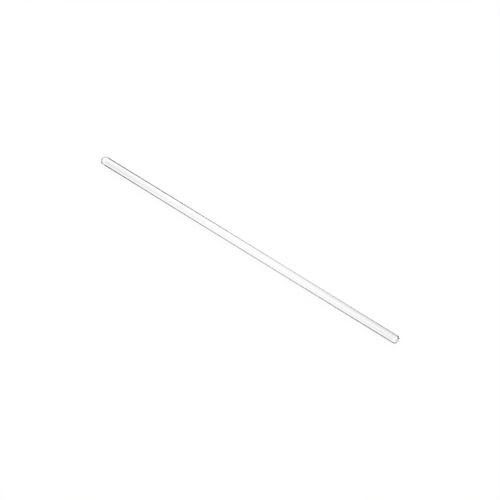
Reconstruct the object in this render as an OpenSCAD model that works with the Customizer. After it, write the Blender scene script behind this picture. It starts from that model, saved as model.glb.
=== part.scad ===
// Glass stirring rod: a straight length of solid drawn rod whose two cut ends
// were melted smooth in a flame. It is one solid, lying along the X axis, with
// the origin at the middle of its length and on its axis. Millimetres.
//
// The flame rounds the rim of a cut first and draws its middle up into a low
// crown. An end that stays in longer closes to a dome, as the far one has here.
// A cut that ran out of square stays lopsided, so each end leans. Both cuts ran
// out the same way, which makes the far end longer on one side of the rod and
// the near end longer on the other.

/* [Shank] */
// Length of the rod from tip to tip
rod_length = 300; // [150:1:500]
// Diameter of the drawn rod
rod_d = 7; // [4:0.1:12]

/* [Far end, melted to a dome] */
// Radius of the crown that the melted rim leaves round the axis
far_crown_r = 0.3; // [0.1:0.1:1.9]
// Steepness of the crown: its height over its radius
far_crown_steepness = 0.6; // [0.1:0.1:0.9]
// Angle by which the cut ran out of square, in degrees
far_lean = 9; // [0:0.5:12]

/* [Near end, melted less] */
// Radius of the crown that the melted rim leaves round the axis
near_crown_r = 0.7; // [0.1:0.1:1.9]
// Steepness of the crown: its height over its radius
near_crown_steepness = 0.1; // [0.1:0.1:0.9]
// Angle by which the cut ran out of square, in degrees
near_lean = 4.5; // [0:0.5:12]

/* [Hidden] */
$fn = 96;

rod_r = rod_d / 2;
// Straight glass between the shank and the lowest point of a leaning rim
collar_margin = 0.1;
// How far a cutting shape runs past what it cuts
overrun = 1;
glass_tint = [0.84, 0.91, 0.92, 0.5];

// Radius of the melted rim, which runs from the crown out to the shank
function rim_r(crown_r) = rod_r - crown_r;

// Radius of the crown's own arc: the one that touches the rim's arc and
// stands at the crown's height over the axis
function crown_arc_r(crown_r, steepness) =
    rim_r(crown_r) + crown_r * (1 + steepness ^ 2) / (2 * steepness);

// Height of the upright end's tip above the middle of the rim's arc
function upright_tip(crown_r, steepness) = rim_r(crown_r) + crown_r * steepness;

// Height of a leaning end's highest point above the middle of its rim: it is
// on the crown where the lean is the gentler slope, and otherwise on the rim.
function leaning_tip(crown_r, steepness, lean) =
    lean < 2 * atan(steepness)
        ? upright_tip(crown_r, steepness)
            + crown_arc_r(crown_r, steepness) * (1 / cos(lean) - 1)
        : rim_r(crown_r) / cos(lean) + crown_r * tan(lean);

// Length of straight glass that a leaning end needs below its rim
function collar(lean) = rod_r * tan(lean) + collar_margin;

// Height of a whole melted end, from the shank to its highest point
function end_height(crown_r, steepness, lean) =
    collar(lean) + leaning_tip(crown_r, steepness, lean);

// Half section of an upright melted end: the crown's arc over the middle and
// the rim's arc outside it, which meet on one ray from the rim's centre.
module end_section(crown_r, steepness)
{
    rim_centre = [crown_r, 0];
    arc_r = crown_arc_r(crown_r, steepness);
    tip = upright_tip(crown_r, steepness);
    ray = [2 * steepness, 1 - steepness ^ 2];
    ray_end = rim_centre + ray * ceil(arc_r + overrun);
    intersection()
    {
        translate([0, tip - arc_r])
        circle(r = arc_r);
        polygon([[0, 0], rim_centre, ray_end, [0, tip + overrun]]);
    }
    intersection()
    {
        translate(rim_centre)
        circle(r = rim_r(crown_r));
        polygon([rim_centre, [rod_d + ray_end.x, 0], ray_end]);
    }
}

// One melted end, standing on the height 0 and leaning towards -Y. The lean
// slides the glass along the axis only, so the section stays a true circle.
module melted_end(crown_r, steepness, lean)
{
    lift = collar(lean);
    lean_along_axis = [[1, 0, 0, 0], [0, 1, 0, 0], [0, -tan(lean), 1, lift], [0, 0, 0, 1]];
    side = rod_d + 2 * overrun;
    intersection()
    {
        multmatrix(lean_along_axis)
        rotate_extrude()
        {
            end_section(crown_r, steepness);
            translate([0, -2 * lift])
            square([rod_r, 2 * lift]);
        }
        translate([-side / 2, -side / 2, 0])
        cube([side, side, end_height(crown_r, steepness, lean) + overrun]);
    }
}

// The whole rod: the shank's straight length is what the two ends leave of it.
module rod()
{
    far_end = end_height(far_crown_r, far_crown_steepness, far_lean);
    near_end = end_height(near_crown_r, near_crown_steepness, near_lean);
    shank_length = rod_length - far_end - near_end;
    color(glass_tint)
    rotate([0, 90, 0])
    translate([0, 0, far_end - rod_length / 2])
    {
        cylinder(r = rod_r, h = shank_length);
        mirror([0, 0, 1])
        melted_end(far_crown_r, far_crown_steepness, far_lean);
        translate([0, 0, shank_length])
        rotate([0, 0, 180])
        melted_end(near_crown_r, near_crown_steepness, near_lean);
    }
}

rod();
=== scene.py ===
"""Glass stirring rod: the looks of one solid rod of clear drawn glass.

The rod lies along X with the middle of its length at the origin. Its shank is
drawn glass, which leaves faint lines along it, and each end was melted smooth
in a flame: the far one to a dome and the near one less. Everything that is
modelled is in metres, and a size that is named in millimetres ends in _mm.
"""

import logging
import math
from dataclasses import dataclass, field
from enum import Enum

import bmesh
import bpy
from mathutils import Matrix, Vector


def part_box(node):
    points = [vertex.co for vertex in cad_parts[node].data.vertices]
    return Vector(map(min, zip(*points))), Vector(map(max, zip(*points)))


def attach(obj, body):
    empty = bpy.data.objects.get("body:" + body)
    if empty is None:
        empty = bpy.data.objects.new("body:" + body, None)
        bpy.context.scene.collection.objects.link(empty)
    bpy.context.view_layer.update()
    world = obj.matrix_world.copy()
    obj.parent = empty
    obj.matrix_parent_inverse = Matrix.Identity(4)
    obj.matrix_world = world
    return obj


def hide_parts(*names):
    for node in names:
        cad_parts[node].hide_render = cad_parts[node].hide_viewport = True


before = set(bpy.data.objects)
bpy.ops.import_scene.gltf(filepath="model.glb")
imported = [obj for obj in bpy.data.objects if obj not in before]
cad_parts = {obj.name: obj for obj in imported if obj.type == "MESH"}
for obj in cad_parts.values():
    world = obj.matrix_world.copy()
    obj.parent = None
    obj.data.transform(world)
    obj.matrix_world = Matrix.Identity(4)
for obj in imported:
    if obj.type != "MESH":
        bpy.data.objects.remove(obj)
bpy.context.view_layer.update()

MM = 0.001
WHITE = (1.0, 1.0, 1.0, 1.0)
WELD_SHARE = 1e-4

log = logging.getLogger("stirring_rod")

Colour = tuple[float, float, float, float]


def linear(hex_colour: str) -> Colour:
    """Turns an sRGB hex colour into a linear one.

    Args:
        hex_colour: Six hex digits, such as "F4F6F6".

    Returns:
        Linear red, green and blue, and an alpha of 1.
    """
    parts = [int(hex_colour[i : i + 2], 16) / 255 for i in (0, 2, 4)]
    red, green, blue = (
        p / 12.92 if p <= 0.04045 else ((p + 0.055) / 1.055) ** 2.4 for p in parts
    )
    return (red, green, blue, 1.0)


def add_node(
    tree: bpy.types.NodeTree,
    kind: str,
    settings: dict[str, object] | None = None,
    inputs: dict[str | int, object] | None = None,
) -> bpy.types.Node:
    """Adds one node with its settings and its links.

    Args:
        tree: The node tree that takes the node.
        kind: Blender's type name of the node.
        settings: Values for the node's own properties.
        inputs: A value or another node's output for each named input socket.

    Returns:
        The new node.
    """
    node = tree.nodes.new(kind)
    for name, value in (settings or {}).items():
        setattr(node, name, value)
    for name, value in (inputs or {}).items():
        if isinstance(value, bpy.types.NodeSocket):
            tree.links.new(value, node.inputs[name])
        else:
            node.inputs[name].default_value = value
    return node


def new_material(name: str) -> tuple[bpy.types.Material, bpy.types.NodeTree]:
    """Makes an empty node material.

    Args:
        name: The material's name.

    Returns:
        The material and its node tree.
    """
    material = bpy.data.materials.new(name)
    material.use_nodes = True
    material.node_tree.nodes.clear()
    return material, material.node_tree


def object_from(bm: bmesh.types.BMesh, name: str) -> bpy.types.Object:
    """Writes a bmesh to a new object at the origin and frees it.

    Args:
        bm: The finished bmesh.
        name: The object's name.

    Returns:
        The object, linked to the scene.
    """
    mesh = bpy.data.meshes.new(name)
    bm.to_mesh(mesh)
    bm.free()
    piece = bpy.data.objects.new(name, mesh)
    bpy.context.scene.collection.objects.link(piece)
    return piece


# ---------------------------------------------------------------- finishes


@dataclass(frozen=True)
class BorosilicateGlass:
    """Borosilicate glass, drawn hot and left as it came: clear and almost
    without colour, with a fire-bright skin that is perfectly smooth across
    the rod and carries only very faint lines along it. The light that is
    caught inside and led down the length loses a little on its way, which
    greys the rounds of the ends.
    """

    ior: float = 1.474
    roughness: float = 0.0
    body_hex: str = "FFFFFF"
    depth_tint_hex: str = "000000"
    depth_density: float = 0.5
    draw_line_mm: float = 0.9
    draw_line_length_mm: float = 260.0
    draw_line_depth_mm: float = 0.0012

    def make(self) -> bpy.types.Material:
        """Builds the glass.

        Returns:
            The material, with its draw lines on Object coordinates.
        """
        material, tree = new_material("borosilicate_glass")
        place = add_node(tree, "ShaderNodeTexCoord").outputs["Object"]
        across = 1.0 / (self.draw_line_mm * MM)
        along = 1.0 / (self.draw_line_length_mm * MM)
        stretched = add_node(
            tree,
            "ShaderNodeMapping",
            inputs={"Vector": place, "Scale": (along, across, across)},
        )
        lines = add_node(
            tree,
            "ShaderNodeTexNoise",
            inputs={"Vector": stretched.outputs["Vector"], "Scale": 1.0, "Detail": 1.0},
        )
        bump = add_node(
            tree,
            "ShaderNodeBump",
            inputs={
                "Height": lines.outputs["Fac"],
                "Distance": self.draw_line_depth_mm * MM,
                "Strength": 1.0,
            },
        )
        skin = add_node(
            tree,
            "ShaderNodeBsdfPrincipled",
            inputs={
                "Base Color": linear(self.body_hex),
                "Roughness": self.roughness,
                "IOR": self.ior,
                "Transmission Weight": 1.0,
                "Normal": bump.outputs["Normal"],
            },
        )
        depth = add_node(
            tree,
            "ShaderNodeVolumeAbsorption",
            inputs={"Color": linear(self.depth_tint_hex), "Density": self.depth_density},
        )
        add_node(
            tree,
            "ShaderNodeOutputMaterial",
            inputs={"Surface": skin.outputs["BSDF"], "Volume": depth.outputs["Volume"]},
        )
        return material


# ---------------------------------------------------------------- the rod


class Side(Enum):
    """The two ends of the rod, as the sign of X that they lie on."""

    FAR = -1
    NEAR = 1


@dataclass(frozen=True)
class MeltedEnd:
    """One flame-melted end: a low crown round the axis, inside a rounded rim
    that runs out to the shank. The lean is what a cut that ran out of square
    leaves: the far end is longer on the -Y side and the near end on the +Y side.
    """

    side: Side
    crown_r_mm: float
    steepness: float
    lean_deg: float
    crown_steps: int = 10
    rim_steps: int = 28
    collar_margin_mm: float = 0.1

    def rim_r(self, rod_r: float) -> float:
        """Gives the radius of the melted rim.

        Args:
            rod_r: The rod's radius in metres.

        Returns:
            The rim's radius in metres.
        """
        return rod_r - self.crown_r_mm * MM

    def crown_slope(self) -> float:
        """Gives the slope at which the crown runs into the rim.

        Returns:
            The slope in radians.
        """
        return 2 * math.atan(self.steepness)

    def crown_arc_r(self, rod_r: float) -> float:
        """Gives the radius of the crown's own arc, which touches the rim's.

        Args:
            rod_r: The rod's radius in metres.

        Returns:
            The arc's radius in metres.
        """
        crown_r = self.crown_r_mm * MM
        return self.rim_r(rod_r) + crown_r / math.sin(self.crown_slope())

    def upright_tip(self, rod_r: float) -> float:
        """Gives the height of the tip above the middle of the rim, unleaned.

        Args:
            rod_r: The rod's radius in metres.

        Returns:
            The height in metres.
        """
        return self.rim_r(rod_r) + self.crown_r_mm * MM * self.steepness

    def leaning_tip(self, rod_r: float) -> float:
        """Gives the height of the leaning end's highest point above the middle
        of its rim. It lies on the crown while the lean is the gentler slope.

        Args:
            rod_r: The rod's radius in metres.

        Returns:
            The height in metres.
        """
        lean = math.radians(self.lean_deg)
        if lean < self.crown_slope():
            rise = self.crown_arc_r(rod_r) * (1 / math.cos(lean) - 1)
            return self.upright_tip(rod_r) + rise
        return self.rim_r(rod_r) / math.cos(lean) + self.crown_r_mm * MM * math.tan(lean)

    def collar(self, rod_r: float) -> float:
        """Gives the length of the straight glass that takes up the lean.

        Args:
            rod_r: The rod's radius in metres.

        Returns:
            The length in metres.
        """
        return rod_r * math.tan(math.radians(self.lean_deg)) + self.collar_margin_mm * MM


@dataclass
class StirringRod:
    """The whole rod, one piece of glass: shank, far end and near end."""

    rod_r: float
    half_length: float
    far: MeltedEnd = field(
        default_factory=lambda: MeltedEnd(
            Side.FAR, crown_r_mm=0.3, steepness=0.6, lean_deg=9.0, crown_steps=4, rim_steps=34
        )
    )
    near: MeltedEnd = field(
        default_factory=lambda: MeltedEnd(
            Side.NEAR, crown_r_mm=0.7, steepness=0.1, lean_deg=4.5
        )
    )
    segments: int = 192
    shank_rings: int = 60
    glass: BorosilicateGlass = BorosilicateGlass()

    @classmethod
    def from_frame(cls) -> "StirringRod":
        """Reads the rod's radius and length off its solid in the frame.

        Returns:
            The rod at the frame's size.
        """
        low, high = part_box("rod")
        return cls(rod_r=(high.z - low.z) / 2, half_length=(high.x - low.x) / 2)

    def rim_x(self, end: MeltedEnd) -> float:
        """Gives the place on the axis of the middle of an end's rim.

        Args:
            end: The end that is asked for.

        Returns:
            The X of that place in metres.
        """
        return end.side.value * (self.half_length - end.leaning_tip(self.rod_r))

    def shank_x(self, end: MeltedEnd) -> float:
        """Gives the place on the axis where the shank stops and a collar starts.

        Args:
            end: The end whose collar is meant.

        Returns:
            The X of that place in metres.
        """
        return self.rim_x(end) - end.side.value * end.collar(self.rod_r)

    def draw_end(self, bm: bmesh.types.BMesh, end: MeltedEnd) -> bmesh.types.BMVert:
        """Draws the half outline of one upright end from its tip outwards.

        Args:
            bm: The bmesh that takes the outline.
            end: The end to draw.

        Returns:
            The last point, where the rim meets the straight glass.
        """
        way = end.side.value
        tip = self.rim_x(end) + way * end.upright_tip(self.rod_r)
        start = bm.verts.new((tip, 0.0, 0.0))
        crown = bmesh.ops.spin(
            bm,
            geom=[start],
            cent=(tip - way * end.crown_arc_r(self.rod_r), 0.0, 0.0),
            axis=(0.0, -way, 0.0),
            angle=end.crown_slope(),
            steps=end.crown_steps,
        )
        join = next(g for g in crown["geom_last"] if isinstance(g, bmesh.types.BMVert))
        rim = bmesh.ops.spin(
            bm,
            geom=[join],
            cent=(self.rim_x(end), 0.0, end.crown_r_mm * MM),
            axis=(0.0, -way, 0.0),
            angle=math.pi / 2 - end.crown_slope(),
            steps=end.rim_steps,
        )
        return next(g for g in rim["geom_last"] if isinstance(g, bmesh.types.BMVert))

    def draw_shank(
        self, bm: bmesh.types.BMesh, start: bmesh.types.BMVert, stop: bmesh.types.BMVert
    ) -> None:
        """Joins the two ends' outlines by the collars and the straight shank.

        Args:
            bm: The bmesh that holds both outlines.
            start: The far end's last point.
            stop: The near end's last point.
        """
        far_x, near_x = self.shank_x(self.far), self.shank_x(self.near)
        point = start
        for x in (far_x, near_x):
            grown = bmesh.ops.extrude_vert_indiv(bm, verts=[point])
            point = grown["verts"][0]
            bmesh.ops.translate(bm, verts=[point], vec=(x - point.co.x, 0.0, 0.0))
        bmesh.ops.contextual_create(bm, geom=[point, stop])
        bmesh.ops.subdivide_edges(bm, edges=grown["edges"], cuts=self.shank_rings)

    def lean_end(self, bm: bmesh.types.BMesh, end: MeltedEnd) -> None:
        """Leans one end: slides its glass along the axis in proportion to its Y.

        Args:
            bm: The rod's bmesh, already spun.
            end: The end to lean.
        """
        way = end.side.value
        edge = self.rim_x(end) - way * end.collar_margin_mm * MM / 2
        lean = Matrix.Identity(4)
        lean[0][1] = math.tan(math.radians(end.lean_deg))
        bmesh.ops.transform(
            bm, matrix=lean, verts=[v for v in bm.verts if way * (v.co.x - edge) > 0]
        )

    def build(self) -> bpy.types.Object:
        """Spins the outline into the rod, dresses it and fits it to the frame.

        Returns:
            The rod's object.
        """
        bm = bmesh.new()
        start = self.draw_end(bm, self.far)
        stop = self.draw_end(bm, self.near)
        self.draw_shank(bm, start, stop)
        bmesh.ops.spin(
            bm,
            geom=bm.verts[:] + bm.edges[:],
            cent=(0.0, 0.0, 0.0),
            axis=(1.0, 0.0, 0.0),
            angle=math.tau,
            steps=self.segments,
            use_merge=True,
        )
        bmesh.ops.remove_doubles(bm, verts=bm.verts[:], dist=self.rod_r * WELD_SHARE)
        self.lean_end(bm, self.far)
        self.lean_end(bm, self.near)
        bmesh.ops.recalc_face_normals(bm, faces=bm.faces[:])
        for face in bm.faces:
            face.smooth = True
        rod = object_from(bm, "glass_rod")
        rod.data.materials.append(self.glass.make())
        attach(rod, "root")
        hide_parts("rod")
        return rod


# ---------------------------------------------------------------- the studio


@dataclass(frozen=True)
class SoftPatch:
    """A patch of painted shade on the light table: dimmer, fading out to its edge."""

    x: float
    y: float
    half_width: float
    half_depth: float
    loss: float


@dataclass(frozen=True)
class ShadeSheet:
    """A sheet of painted shade: it glows black or grey, keeps no light out and is
    seen only in what the glass bends or mirrors, where it draws the dark lines
    along the rod's sides and round its ends. Its cut edge sets how wide a line is.
    """

    name: str
    edge: tuple[tuple[float, float, float], ...]
    reach: tuple[float, float, float]
    grey: float = 0.0

    def build(self) -> bpy.types.Object:
        """Makes the sheet of painted shade, flat, reaching back from its cut edge.

        Returns:
            The flag's object.
        """
        bm = bmesh.new()
        points = [bm.verts.new(point) for point in self.edge]
        lines = [bm.edges.new(pair) for pair in zip(points, points[1:])]
        back = bmesh.ops.extrude_edge_only(bm, edges=lines)["geom"]
        moved = [g for g in back if isinstance(g, bmesh.types.BMVert)]
        bmesh.ops.translate(bm, vec=self.reach, verts=moved)
        shade_sheet = object_from(bm, self.name)
        material, tree = new_material(self.name)
        # Its glow, black or grey, is the painted shade that the glass shows.
        glow = add_node(
            tree,
            "ShaderNodeEmission",
            inputs={"Color": (self.grey, self.grey, self.grey, 1.0)},
        )
        add_node(tree, "ShaderNodeOutputMaterial", inputs={"Surface": glow.outputs[0]})
        shade_sheet.data.materials.append(material)
        hide_but_from_glass(shade_sheet)
        return shade_sheet


def hide_but_from_glass(piece: bpy.types.Object) -> None:
    """Lets a studio piece be seen only in what the glass bends or mirrors.
    The piece then lights and shades nothing, so the dark that it shows in the glass is
    painted shade.

    Args:
        piece: The piece to hide from all else.
    """
    piece.visible_camera = False
    piece.visible_diffuse = False
    piece.visible_glossy = True
    piece.visible_shadow = False


@dataclass
class Studio:
    """White table, pale room and the camera.

    Clear glass has no colour of its own to show, so it is lit as glass is in a
    studio, from behind. The table top is white for the camera and in mirrored
    light, and takes the rod's shadow. What shows through the glass is a lit
    sheet below the table top that glows for the glass alone, dimmer in a few soft
    patches of painted shade, with sheets of painted shade beyond it that glow
    black or grey and draw the rod's dark lines. A ray may cross the rod dozens of
    times before it leaves by an end, so it is given many bounces.
    """

    view_azimuth_deg: float = 39.45
    view_elevation_deg: float = 48.43
    camera_distance: float = 10.0
    aim: tuple[float, float, float] = (0.0009, -0.00004, -0.000028)
    frame_width: float = 0.3915
    sensor_mm: float = 36.0
    clip_near: float = 0.1
    clip_far: float = 100.0
    light_bounces: int = 96
    floor_z: float = -0.0035
    floor_size: float = 12.0
    floor_albedo: float = 0.055
    overhead_from: float = 0.2
    overhead_full: float = 0.6
    overhead_grey: float = 0.03
    left_wall_from: float = -0.65
    left_wall_full: float = -0.69
    table_z: float = -0.35
    table_size: float = 4.6
    table_right: float = 0.03
    table_light: float = 1.2
    # Patches of painted shade on the lit sheet, which grey the inside of the rod.
    patches: tuple[SoftPatch, ...] = (
        SoftPatch(x=-0.721, y=0.315, half_width=0.700, half_depth=0.628, loss=0.678),
        SoftPatch(x=0.090, y=-0.182, half_width=0.418, half_depth=0.792, loss=0.486),
        SoftPatch(x=0.033, y=0.514, half_width=0.400, half_depth=0.351, loss=0.504),
        SoftPatch(x=-0.298, y=1.242, half_width=0.700, half_depth=0.590, loss=0.950),
    )
    # Sheets of painted shade that only the glass shows; each draws a dark line of the rod.
    shade_sheets: tuple[ShadeSheet, ...] = (
        # Lower line, along the whole length, and the far end's lower corner
        ShadeSheet(
            "far_shade_sheet",
            edge=(
                (-0.67, 1.0, -0.2647),
                (-0.64, 1.0, -0.2647),
                (-0.54, 1.0, -0.1241),
                (-0.44, 1.0, -0.0255),
                (-0.34, 1.0, -0.1459),
                (-0.30, 1.0, -0.1459),
                (-0.28, 1.0, -0.34),
                (-0.18, 1.0, -0.34),
            ),
            reach=(0.0, 0.0, 1.0),
        ),
        # Lower line as it shows from nearer the rod's own direction
        ShadeSheet(
            "far_left_shade_sheet",
            edge=((-1.15, 1.0, 0.25), (-0.74, 1.0, 0.25), (-0.67, 1.0, -0.2647)),
            reach=(0.0, 0.0, 1.0),
            grey=0.4,
        ),
        # Upper line, along the whole length
        ShadeSheet(
            "low_shade_sheet",
            edge=(
                (-0.75, 0.09, -0.349),
                (-0.48, 0.09, -0.349),
                (-0.33, -0.0422, -0.349),
                (-0.23, -0.0811, -0.349),
                (-0.13, -0.1680, -0.349),
                (-0.03, -0.1210, -0.349),
                (0.03, -0.1210, -0.349),
            ),
            reach=(0.0, -0.65, 0.0),
        ),
        # Round of the far end, upper part
        ShadeSheet(
            "side_shade_sheet",
            edge=(
                (-0.006, 0.08, -0.349),
                (-0.028, 0.20, -0.349),
                (-0.052, 0.30, -0.349),
                (-0.085, 0.40, -0.349),
                (-0.160, 0.60, -0.349),
            ),
            reach=(0.7, 0.0, 0.0),
            grey=0.42,
        ),
        # Round of the far end, lower part
        ShadeSheet(
            "back_shade_sheet",
            edge=(
                (-0.160, 0.60, -0.349),
                (-0.240, 0.80, -0.349),
                (-0.325, 1.00, -0.349),
                (-0.455, 1.30, -0.349),
            ),
            reach=(0.25, 0.0, 0.0),
        ),
        # Far end, where it looks down past the lit sheet
        ShadeSheet(
            "deep_shade_sheet",
            edge=((0.30, 0.25, -1.5), (1.30, 0.25, -1.5)),
            reach=(0.0, -1.15, 0.0),
        ),
        # Upper line as it shows from behind
        ShadeSheet(
            "deep_right_shade_sheet",
            edge=((1.30, 0.6, -1.5), (2.30, 0.6, -1.5)),
            reach=(0.0, -1.05, 0.0),
            grey=0.2,
        ),
        # Far end, where it looks level
        ShadeSheet(
            "far_right_shade_sheet",
            edge=((0.28, 4.0, -1.6), (2.40, 4.0, -1.6)),
            reach=(0.0, 0.0, 2.2),
        ),
        # Far end, where it looks back along the rod
        ShadeSheet(
            "right_shade_sheet",
            edge=((2.0, -1.2, -1.0), (2.0, 1.2, -1.0)),
            reach=(0.0, 0.0, 2.0),
        ),
    )

    def camera(self) -> None:
        """Sets the camera on the rod's middle."""
        azimuth = math.radians(self.view_azimuth_deg)
        elevation = math.radians(self.view_elevation_deg)
        back = Vector(
            (
                math.sin(azimuth) * math.cos(elevation),
                -math.cos(azimuth) * math.cos(elevation),
                math.sin(elevation),
            )
        )
        data = bpy.data.cameras.new("camera")
        data.sensor_width = self.sensor_mm
        data.lens = self.sensor_mm * self.camera_distance / self.frame_width
        data.clip_start = self.clip_near
        data.clip_end = self.clip_far
        camera = bpy.data.objects.new("camera", data)
        camera.location = Vector(self.aim) + back * self.camera_distance
        camera.rotation_mode = "QUATERNION"
        camera.rotation_quaternion = (-back).to_track_quat("-Z", "Y")
        bpy.context.scene.collection.objects.link(camera)
        bpy.context.scene.camera = camera

    def floor(self) -> None:
        """Lays the white table top."""
        bm = bmesh.new()
        bmesh.ops.create_grid(bm, x_segments=1, y_segments=1, size=self.floor_size / 2)
        bmesh.ops.translate(bm, vec=(0.0, 0.0, self.floor_z), verts=bm.verts[:])
        floor = object_from(bm, "table_top")
        material, tree = new_material("white_table")
        path = add_node(tree, "ShaderNodeLightPath").outputs
        seen = add_node(
            tree,
            "ShaderNodeMath",
            {"operation": "MAXIMUM"},
            {0: path["Is Camera Ray"], 1: path["Is Glossy Ray"]},
        )
        share = add_node(
            tree,
            "ShaderNodeMath",
            {"operation": "MULTIPLY"},
            {0: seen.outputs[0], 1: 1.0 - self.floor_albedo},
        )
        glow = add_node(
            tree,
            "ShaderNodeEmission",
            inputs={"Color": WHITE, "Strength": share.outputs[0]},
        )
        matt = add_node(
            tree,
            "ShaderNodeBsdfDiffuse",
            inputs={"Color": (self.floor_albedo,) * 3 + (1.0,)},
        )
        both = add_node(
            tree,
            "ShaderNodeAddShader",
            inputs={0: glow.outputs[0], 1: matt.outputs[0]},
        )
        add_node(tree, "ShaderNodeOutputMaterial", inputs={"Surface": both.outputs[0]})
        floor.data.materials.append(material)
        floor.visible_transmission = False

    def light_table(self) -> None:
        """Lays the lit sheet that is seen through the glass, from below. It glows for the
        glass alone, and its soft patches are painted shade that greys the rod's inside.
        """
        bm = bmesh.new()
        bmesh.ops.create_grid(bm, x_segments=1, y_segments=1, size=self.table_size / 2)
        bmesh.ops.translate(
            bm,
            vec=(self.table_right - self.table_size / 2, 0.0, self.table_z),
            verts=bm.verts[:],
        )
        table = object_from(bm, "light_table")
        material, tree = new_material("lit_sheet")
        place = add_node(tree, "ShaderNodeTexCoord").outputs["Object"]
        level = self.table_light
        # Each patch takes painted shade off the sheet's glow.
        for patch in self.patches:
            spot = add_node(
                tree,
                "ShaderNodeMapping",
                {"vector_type": "TEXTURE"},
                {
                    "Vector": place,
                    "Location": (patch.x, patch.y, self.table_z),
                    "Scale": (patch.half_width, patch.half_depth, 1.0),
                },
            )
            cone = add_node(
                tree,
                "ShaderNodeTexGradient",
                {"gradient_type": "SPHERICAL"},
                {"Vector": spot.outputs["Vector"]},
            )
            round_off = add_node(
                tree,
                "ShaderNodeMapRange",
                {"interpolation_type": "SMOOTHSTEP"},
                {"Value": cone.outputs["Fac"], "To Max": patch.loss},
            )
            level = add_node(
                tree,
                "ShaderNodeMath",
                {"operation": "SUBTRACT"},
                {0: level, 1: round_off.outputs[0]},
            ).outputs[0]
        glow = add_node(
            tree,
            "ShaderNodeEmission",
            inputs={"Color": WHITE, "Strength": level},
        )
        add_node(tree, "ShaderNodeOutputMaterial", inputs={"Surface": glow.outputs[0]})
        table.data.materials.append(material)
        hide_but_from_glass(table)

    def world(self) -> None:
        """Lights the room: white for the camera and on the table, and for the
        glass darker overhead, but for the wall beyond the far end."""
        world = bpy.data.worlds.new("pale_room")
        bpy.context.scene.world = world
        world.use_nodes = True
        tree = world.node_tree
        tree.nodes.clear()
        path = add_node(tree, "ShaderNodeLightPath").outputs
        way = add_node(tree, "ShaderNodeTexCoord").outputs["Generated"]
        axes = add_node(tree, "ShaderNodeSeparateXYZ", inputs={0: way}).outputs
        room = add_node(
            tree,
            "ShaderNodeMapRange",
            {"interpolation_type": "SMOOTHSTEP"},
            {
                "Value": axes["Z"],
                "From Min": self.overhead_from,
                "From Max": self.overhead_full,
                "To Min": 1.0,
                "To Max": self.overhead_grey,
            },
        )
        wall = add_node(
            tree,
            "ShaderNodeMapRange",
            {"interpolation_type": "SMOOTHSTEP"},
            {
                "Value": axes["X"],
                "From Min": self.left_wall_from,
                "From Max": self.left_wall_full,
            },
        )
        plain = add_node(
            tree,
            "ShaderNodeMath",
            {"operation": "MAXIMUM"},
            {0: path["Is Camera Ray"], 1: path["Is Diffuse Ray"]},
        )
        glass = add_node(
            tree,
            "ShaderNodeMath",
            {"operation": "MAXIMUM"},
            {0: room.outputs[0], 1: wall.outputs[0]},
        )
        strength = add_node(
            tree,
            "ShaderNodeMath",
            {"operation": "MAXIMUM"},
            {0: plain.outputs[0], 1: glass.outputs[0]},
        )
        light = add_node(
            tree,
            "ShaderNodeBackground",
            inputs={"Color": WHITE, "Strength": strength.outputs[0]},
        )
        add_node(tree, "ShaderNodeOutputWorld", inputs={"Surface": light.outputs[0]})

    def build(self) -> None:
        """Builds the whole set."""
        self.camera()
        self.floor()
        self.light_table()
        self.world()
        for shade_sheet in self.shade_sheets:
            shade_sheet.build()
        scene = bpy.context.scene
        scene.view_settings.view_transform = "Standard"
        scene.cycles.max_bounces = self.light_bounces
        scene.cycles.glossy_bounces = self.light_bounces
        scene.cycles.transmission_bounces = self.light_bounces


def main() -> None:
    """Builds the rod and the studio and reports each piece."""
    logging.basicConfig(level=logging.INFO, format="%(name)s: %(message)s")
    rod = StirringRod.from_frame().build()
    log.info("%s: %d faces", rod.name, len(rod.data.polygons))
    Studio().build()


if __name__ == "__main__":
    main()
